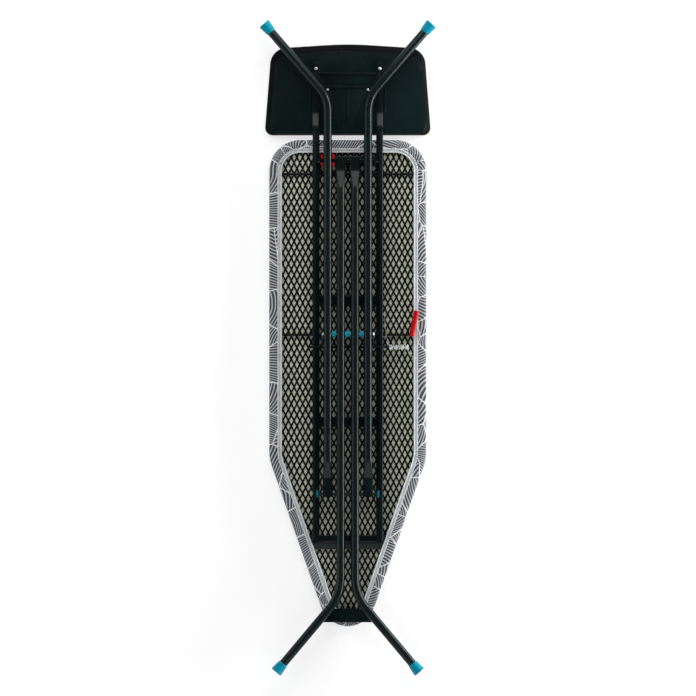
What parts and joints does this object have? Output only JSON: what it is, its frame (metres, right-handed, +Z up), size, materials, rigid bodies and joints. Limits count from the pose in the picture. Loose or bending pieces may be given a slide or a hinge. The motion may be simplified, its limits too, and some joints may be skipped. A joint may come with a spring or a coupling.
{
  "type": "ironing board",
  "caption": "Folding ironing board with an iron rest, scissor legs, height lever and fabric cover, folded flat and lying face down.",
  "frame": {"origin": "on the floor under the middle of the folded board, ironing face down", "axes": "+Y along the board towards the iron rest, +Z up through the underside with the legs, +X across the board"},
  "size_m": [0.453, 1.6857, 0.0595],
  "materials": {
    "black_paint": "satin powder coat",
    "rest_black": "satin moulded",
    "teal_plastic": "satin moulded",
    "red_plastic": "satin moulded",
    "zinc": "bright zinc plate",
    "cover_fabric": "printed cotton",
    "binding_tape": "gathered cotton tape",
    "felt": "needled felt"
  },
  "bodies": {
    "board": {"cover_face": "cover_fabric", "cover_side_band": "cover_fabric", "cover_binding_tape": "binding_tape", "underlay_pad": "felt", "mesh_panel": "black_paint", "rim_frame": "black_paint", "rail_left": "black_paint", "rail_right": "black_paint", "head_brace": "black_paint", "brace_upper": "black_paint", "brace_lower": "black_paint", "nose_bar": "black_paint", "nose_cap": "rest_black", "head_rod": "black_paint", "pivot_bracket_left": "black_paint", "pivot_bracket_right": "black_paint", "transport_clip": "red_plastic", "iron_rest_tray": "rest_black", "rest_screw_left": "zinc", "rest_screw_right": "zinc", "tray_screw_left": "zinc", "tray_screw_right": "zinc", "lever_saddle_left": "black_paint", "lever_saddle_right": "black_paint", "return_spring": "zinc"},
    "inner_leg": {"inner_tube_left": "black_paint", "inner_tube_right": "black_paint", "pivot_tube": "black_paint", "inner_foot_left": "teal_plastic", "inner_foot_right": "teal_plastic"},
    "outer_leg": {"outer_tube_left": "black_paint", "outer_tube_right": "black_paint", "slider_rod": "black_paint", "outer_foot_left": "teal_plastic", "outer_foot_right": "teal_plastic", "centre_bolt": "zinc", "centre_nut": "zinc", "spacer_left": "teal_plastic", "spacer_centre": "teal_plastic", "spacer_right": "teal_plastic"},
    "slider": {"shoe_left": "teal_plastic", "shoe_right": "teal_plastic"},
    "lever": {"lever_rod": "black_paint", "lever_grip": "red_plastic", "lock_bar": "black_paint", "lock_arm_left": "black_paint", "lock_arm_right": "black_paint"}
  },
  "joints": [
    {"name": "leg_fold", "type": "hinge", "parent": "board", "child": "inner_leg", "pos_m": [0, 0.4815, 0.0257], "axis": [-1, 0, 0], "range_deg": [0, 44]},
    {"name": "leg_scissor", "type": "hinge", "parent": "inner_leg", "child": "outer_leg", "pos_m": [0, 0.0356, 0.0442], "axis": [1, 0, 0], "range_deg": [0, 93]},
    {"name": "slider_tilt", "type": "hinge", "parent": "outer_leg", "child": "slider", "pos_m": [0, -0.3756, 0.0257], "axis": [-1, 0, 0], "range_deg": [0, 49]},
    {"name": "height_lever", "type": "hinge", "parent": "board", "child": "lever", "pos_m": [0, 0.0335, 0.0114], "axis": [-1, 0, 0], "range_deg": [0, 10], "stiffness_Nm_per_rad": 6, "springref_deg": -11.46}
  ],
  "couplings": [
    {"joint": "leg_scissor", "follows": "leg_fold", "ratio": 2.106},
    {"joint": "slider_tilt", "follows": "leg_fold", "ratio": 1.106}
  ]
}
